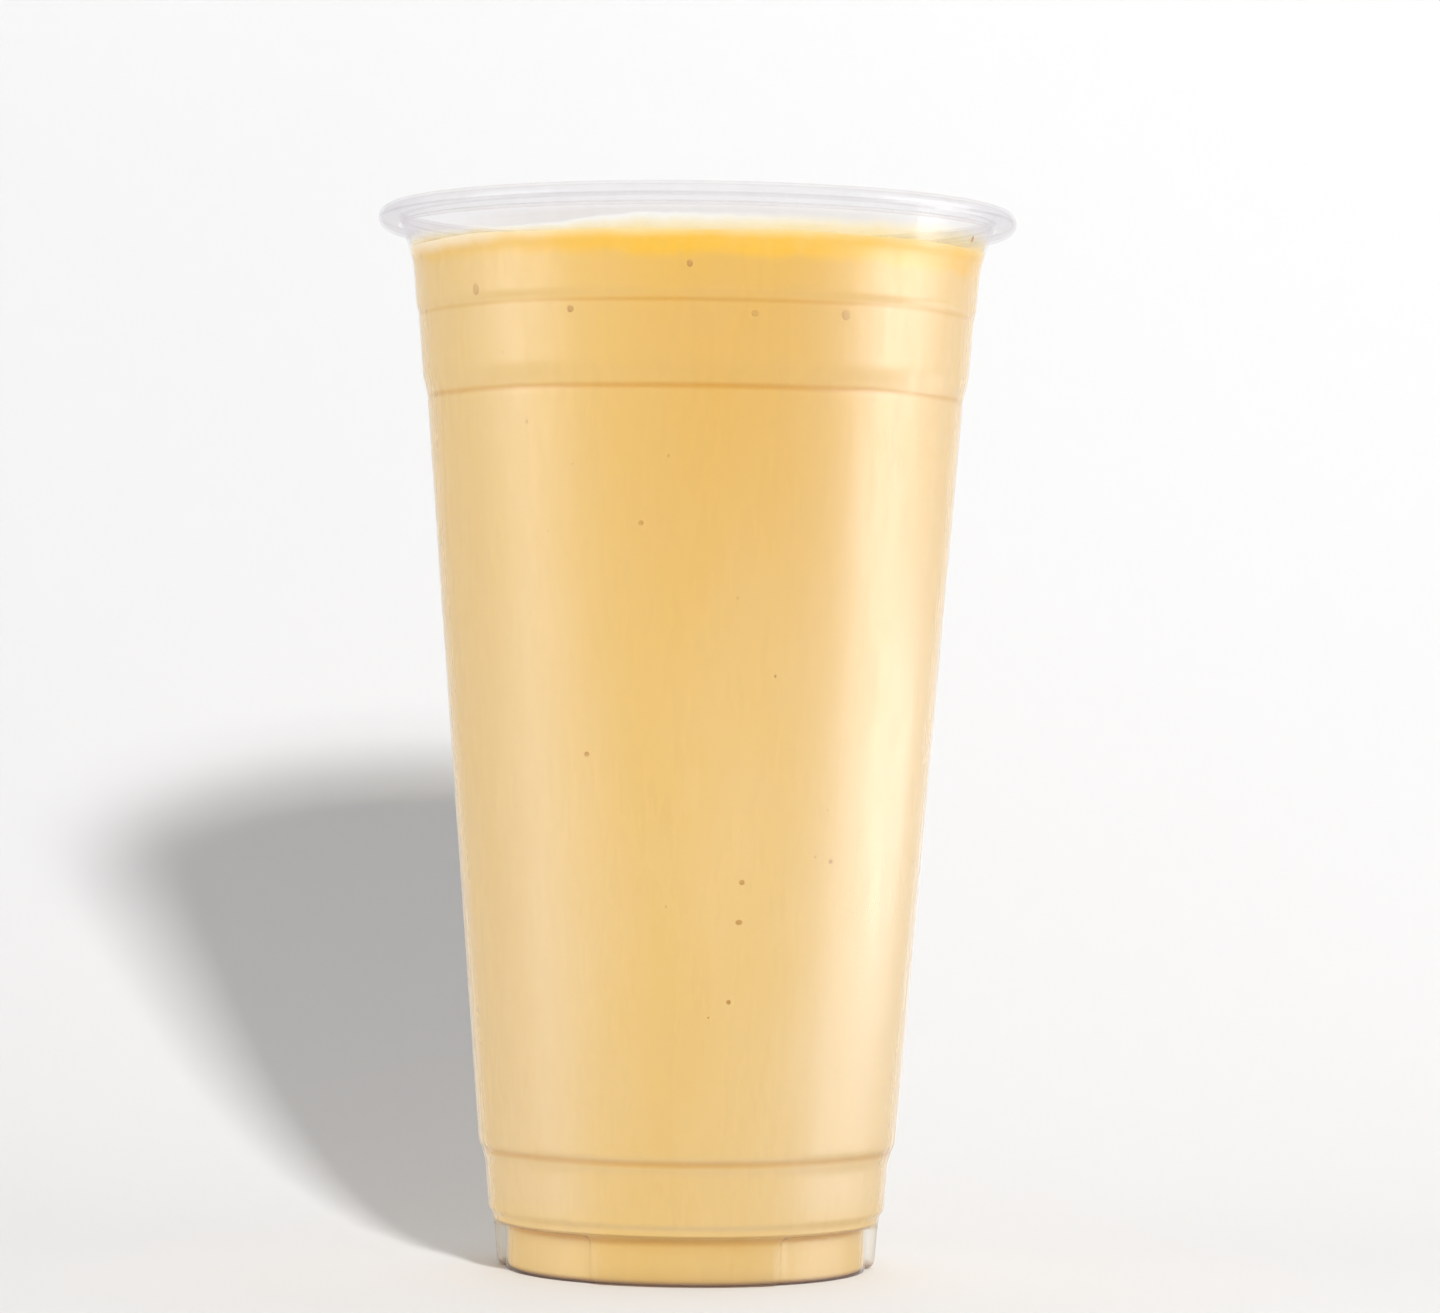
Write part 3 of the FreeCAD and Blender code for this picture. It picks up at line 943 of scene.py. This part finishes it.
# height of the drink's top, which climbs a little where it wets the wall
def surfaceHeight(r, angle):
    d = drinkSizes
    edge = wallFace(drinkLevel, d["intoWall"])
    climb = np.exp(-(edge - r) / d["meniscusWidth"]) * d["meniscusRise"]
    wave = np.sin(2 * angle + 0.19 * r) + np.sin(3 * angle - 0.31 * r + 2.0) + np.sin(0.42 * r + angle)
    uneven = d["unevenEdge"] * (np.sin(5 * angle + 1.0) + np.sin(11 * angle + 3.0)) * climb
    return drinkLevel - d["sag"] + climb + uneven + d["ripple"] * wave * np.clip(r / 8, 0, 1)


def makeLayer():
    angles = columnAngles()
    around = np.ones_like(angles)
    foot = undersideAt(40, angles)
    overlap = 0.2
    rows = [(0, layerUnderside(0, 0) + overlap)]
    for r in layerRings[::-1]:
        rows.append((r, undersideAt(r, angles) + overlap))
    rimHeight = surfaceHeight(44.0 * around, angles) + 0.05
    bandRows = 14
    for share in (0, 0.004, *(i / bandRows for i in range(1, bandRows)), 0.996, 1):
        z = foot + (rimHeight - foot) * share
        rows.append((sideRadius(angles, z), z))
    nearWall = 43.9 - 5.0 * np.linspace(0.004, 1, 12) ** 1.6  # closer together where the surface climbs
    for r in (*nearWall, *np.linspace(37.0, 2.0, 24)):
        rows.append((r, surfaceHeight(r * around, angles)))
    rows.append((0, float(surfaceHeight(0.0, 0.0))))
    layer = turnedMesh("goldenLayer", rows, angles)
    layer.data.materials.append(drinkMaterial())
    layer.data.materials.append(surfaceMaterial())
    for face in layer.data.polygons:
        face.material_index = 1 if face.normal.z > 0.55 else 0
    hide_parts("golden_layer")
    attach(layer, "root")
    print("golden layer made:", len(layer.data.polygons), "faces")


makeLayer()

# thin film of milk left on the plastic above the level
filmSizes = {
    "foot": 154.6,
    "top": 158.9,
    "uneven": 0.25,
    "thick": 0.16,
    "thinnest": 0.01,
    "offSheet": 0.012,
    "rows": 11,
    "seed": 7,
}


# light let through, places in metres and cover of the film
filmLook = {
    "thin": (1.0, 0.998, 0.99, 1),
    "thick": (1.0, 0.885, 0.59, 1),
    "thickFrom": 0.1553,
    "cover": (0.1560, 0.1580),
    "coverMost": 0.35,
    "coverLeft": (-0.045, -0.034),
    "tone": (0.1548, 0.1562),
    "streaks": 300.0,
}


def filmMaterial():
    look = filmLook
    material, tree = newMaterial("milkFilm")
    x, y, z = axesOf(tree)
    ragged = raggedNoise(tree)
    lifted = centred(tree, ragged, topEdge["raggedBy"], z)
    streaks = noiseOf(tree, placeOf(tree, (1, 1, 0.12)), look["streaks"], 3.0, 0.6)
    cover = ramp(tree, lifted, *look["cover"], look["coverMost"], 0.0)
    cover = maths(tree, "MULTIPLY", cover, ramp(tree, x, *look["coverLeft"], 1.0, 0.2))
    cover = maths(tree, "MULTIPLY", cover, ramp(tree, streaks, 0.30, 0.62, 0.80, 1.0))
    low = ramp(tree, lifted, *look["tone"], 1.0, 0.0)
    bump = addNode(tree, "ShaderNodeBump", {"Height": ragged, "Strength": 0.2, "Distance": 0.0003})
    milk = addNode(tree, "ShaderNodeBsdfPrincipled", {
        "Base Color": mixColours(tree, low, mangoColours["filmTop"], mangoColours["filmFoot"]),
        "Roughness": ramp(tree, streaks, 0.3, 0.7, 0.30, 0.48),
        "Specular IOR Level": 0.2,
        "Normal": bump.outputs[0],
    })
    thick = ramp(tree, lifted, look["thickFrom"], wetUpTo(tree, x), 1.0, 0.0)
    clear = addNode(tree, "ShaderNodeBsdfTransparent", {
        "Color": mixColours(tree, thick, look["thin"], look["thick"]),
    })
    return showOn(material, mixShaders(tree, cover, clear, milk))


# height that the film reaches at each angle
def filmTop(angles):
    f = filmSizes
    lobes = [noise.noise(Vector((3.2 * math.cos(a), 3.2 * math.sin(a), f["seed"]))) for a in angles]
    fine = [noise.noise(Vector((14 * math.cos(a), 14 * math.sin(a), f["seed"]))) for a in angles]
    leaned = f["top"] + topEdge["lean"] * 46 * np.cos(angles)
    return leaned + f["uneven"] * (np.array(lobes) * 1.6 + np.array(fine) * 0.7)


def makeFilm():
    f = filmSizes
    angles = columnAngles()
    top = filmTop(angles)
    outside = []
    inside = []
    for share in np.linspace(0, 1, f["rows"]):
        z = f["foot"] + (top - f["foot"]) * share
        face = wallFace(z, cupSizes["sheet"]) - f["offSheet"]
        outside.append((face, z))
        inside.append((face - f["thick"] * (1 - share) ** 0.7 - f["thinnest"], z))
    film = turnedMesh("milkFilm", outside + inside[::-1], angles, closed=True)
    film.data.materials.append(filmMaterial())
    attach(film, "root")
    print("film made:", len(film.data.polygons), "faces")


makeFilm()


# one low rounded dome on a surface: wide across, tall along, high outwards
def addDome(store, middle, across, along, out, wide, tall, high, rings=4, around=12, lean=0.0):
    vertices, faces = store
    start = len(vertices)
    for i in range(rings):
        t = math.pi / 2 * i / rings
        for j in range(around):
            p = 2 * math.pi * j / around
            spread = math.cos(t) * (1 + lean * math.cos(p))
            place = middle + across * (wide * spread * math.cos(p)) + along * (tall * spread * math.sin(p))
            vertices.append(place + out * (high * math.sin(t)))
    vertices.append(middle + out * high)
    tip = len(vertices) - 1
    for i in range(rings - 1):
        for j in range(around):
            k = (j + 1) % around
            a = start + i * around
            faces.append((a + j, a + k, a + around + k, a + around + j))
    last = start + (rings - 1) * around
    for j in range(around):
        faces.append((last + j, last + (j + 1) % around, tip))
    faces.append(tuple(start + j for j in reversed(range(around))))


# directions at the wall; turn is in degrees from the front, to the right
def atTurn(turn):
    angle = math.radians(turn - 90)
    out = Vector((math.cos(angle), math.sin(angle), 0))
    return angle, out, Vector((-out.y, out.x, 0))


def onWall(turn, z):
    angle, out, across = atTurn(turn)
    radius = float(sideRadius(np.array([angle]), z)[0]) - flecks["sunk"]
    return out * radius + upright * z, across, upright, out


upright = Vector((0, 0, 1))
flecks = {
    # turn, height, half width, half height
    "placed": [
        (-50, 148.0, 0.72, 1.05), (-26, 144.3, 0.52, 0.58), (-1.5, 150.8, 0.45, 0.62),
        (11.5, 143.7, 0.55, 0.50), (31, 144.1, 0.72, 0.85), (-11.5, 113.0, 0.38, 0.40),
        (-25, 79.0, 0.44, 0.38), (12.5, 60.4, 0.42, 0.42), (36, 63.5, 0.36, 0.38),
        (12, 54.5, 0.55, 0.42), (10, 42.7, 0.34, 0.36), (-38, 128.0, 0.28, 0.34),
    ],
    "scattered": 70,
    "between": (9.5, 151.5),
    "sizes": (0.07, 0.20),
    "seed": 41,
    "high": 0.07,
    "sunk": 0.01,
    "dropTurn": 70,
    "dropHeight": 157.2,
    "dropSize": (0.35, 0.5, 0.25),
}


def fleckMaterial():
    look = mangoColours
    material, tree = newMaterial("mangoFleck")
    place = placeOf(tree)
    blotch = noiseOf(tree, place, 800.0, 3.0, 0.6)
    each = noiseOf(tree, place, 60.0, 1.0, 0.5)
    amber = mixColours(tree, ramp(tree, blotch, 0.35, 0.7, 0.0, 1.0), look["amber"], look["paleAmber"])
    bump = addNode(tree, "ShaderNodeBump", {"Height": blotch, "Strength": 0.3, "Distance": 0.0001})
    return showOn(material, addNode(tree, "ShaderNodeBsdfPrincipled", {
        "Base Color": mixColours(tree, ramp(tree, each, 0.4, 0.6, 0.0, 0.4), amber, look["deepMilk"]),
        "Roughness": ramp(tree, blotch, 0.3, 0.7, 0.35, 0.55),
        "Specular IOR Level": 0.2,
        "Normal": bump.outputs[0],
    }))


def makeFlecks():
    chance = random.Random(flecks["seed"])
    high = flecks["high"]
    lowest, highest = flecks["between"]
    store = ([], [])
    for turn, z, wide, tall in flecks["placed"]:
        addDome(store, *onWall(turn, z), wide, tall, high + flecks["sunk"], lean=0.15)
    for i in range(flecks["scattered"]):
        turn = chance.uniform(-180, 180)
        z = lowest + (highest - lowest) * chance.random() ** 0.8
        size = chance.uniform(*flecks["sizes"])
        tall = size * chance.uniform(0.8, 1.5)
        addDome(store, *onWall(turn, z), size, tall, high * 0.8, 3, 8, 0.2)
    # small drop on the clear plastic above the drink, at the right
    angle, out, across = atTurn(flecks["dropTurn"])
    dropHeight = flecks["dropHeight"]
    radius = float(wallFace(dropHeight, cupSizes["sheet"])) - 0.02
    slope = (upright + out * flareSlope).normalized()
    inwards = (-out + upright * flareSlope).normalized()
    addDome(store, out * radius + upright * dropHeight, -across, slope, inwards, *flecks["dropSize"])
    piece = meshPiece("pulpFlecks", np.array(store[0]) * mm, store[1])
    piece.data.materials.append(fleckMaterial())
    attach(piece, "root")
    print("flecks made:", len(piece.data.polygons), "faces")


makeFlecks()

froth = {
    "atWall": 230,
    "patches": 9,
    "inPatch": 26,
    "patchSpread": 2.4,
    "wallSpread": 0.8,
    "smallest": 0.16,
    "largest": 1.0,
    "fromWall": 2.3,
    "apart": 0.86,  # least distance between bubbles, as a share of their radii together
    "sunk": 0.12,
    "clear": (1.0, 0.97, 0.88, 1),
    "seed": 12,
}


def frothMaterial():
    look = mangoColours
    material, tree = newMaterial("frothSkin")
    milky = noiseOf(tree, placeOf(tree), 500.0, 3.0, 0.55)
    facing = addNode(tree, "ShaderNodeLayerWeight", {"Blend": 0.5}).outputs["Facing"]
    bump = addNode(tree, "ShaderNodeBump", {"Height": milky, "Strength": 0.15, "Distance": 0.0001})
    paler = ramp(tree, milky, 0.35, 0.65, 0.0, 1.0)
    skin = addNode(tree, "ShaderNodeBsdfPrincipled", {
        "Base Color": mixColours(tree, paler, look["cream"], look["bubblePale"]),
        "Roughness": ramp(tree, milky, 0.3, 0.7, 0.10, 0.22),
        "Normal": bump.outputs[0],
    })
    clear = addNode(tree, "ShaderNodeBsdfTransparent", {"Color": froth["clear"]})
    cover = maths(tree, "MULTIPLY_ADD", maths(tree, "POWER", facing, 1.6), 0.62, 0.34)
    return showOn(material, mixShaders(tree, cover, clear, skin))


def makeFroth():
    chance = random.Random(froth["seed"])
    store = ([], [])
    spots = []
    wall = float(wallFace(drinkLevel - 0.3, cupSizes["sheet"]))

    def place(r, angle, size):
        x = r * math.cos(angle)
        y = r * math.sin(angle)
        if any((x - a) ** 2 + (y - b) ** 2 < (froth["apart"] * (size + c)) ** 2 for a, b, c in spots):
            return
        spots.append((x, y, size))
        z = float(surfaceHeight(np.array(r), np.array(angle))) - froth["sunk"] * size
        right = Vector((1, 0, 0))
        back = Vector((0, 1, 0))
        addDome(store, Vector((x, y, z)), right, back, upright, size, size, size * 0.82, 5, 14)

    spread = froth["largest"] - froth["smallest"]
    for i in range(froth["atWall"]):
        size = froth["smallest"] + spread * chance.random() ** 3.2
        r = wall - froth["fromWall"] - size - abs(chance.gauss(0, froth["wallSpread"]))
        place(r, chance.uniform(0, 2 * math.pi), size)
    for i in range(froth["patches"]):
        r0 = 40 * math.sqrt(chance.random())
        a0 = chance.uniform(0, 2 * math.pi)
        for j in range(froth["inPatch"]):
            size = froth["smallest"] + spread * chance.random() ** 2.6
            x = r0 * math.cos(a0) + chance.gauss(0, froth["patchSpread"])
            y = r0 * math.sin(a0) + chance.gauss(0, froth["patchSpread"])
            if math.hypot(x, y) < wall - size - froth["fromWall"]:
                place(math.hypot(x, y), math.atan2(y, x), size)
    piece = meshPiece("frothBubbles", np.array(store[0]) * mm, store[1])
    piece.data.materials.append(frothMaterial())
    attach(piece, "root")
    print("froth made:", len(spots), "bubbles")


makeFroth()

# the shadow lamp lights the table, the other lamps the cup and what is in it
stageLit.objects.link(tableSweep)
for name in ("cupShell", "drinkBody", "goldenLayer", "milkFilm", "pulpFlecks", "frothBubbles"):
    cupLit.objects.link(bpy.data.objects[name])
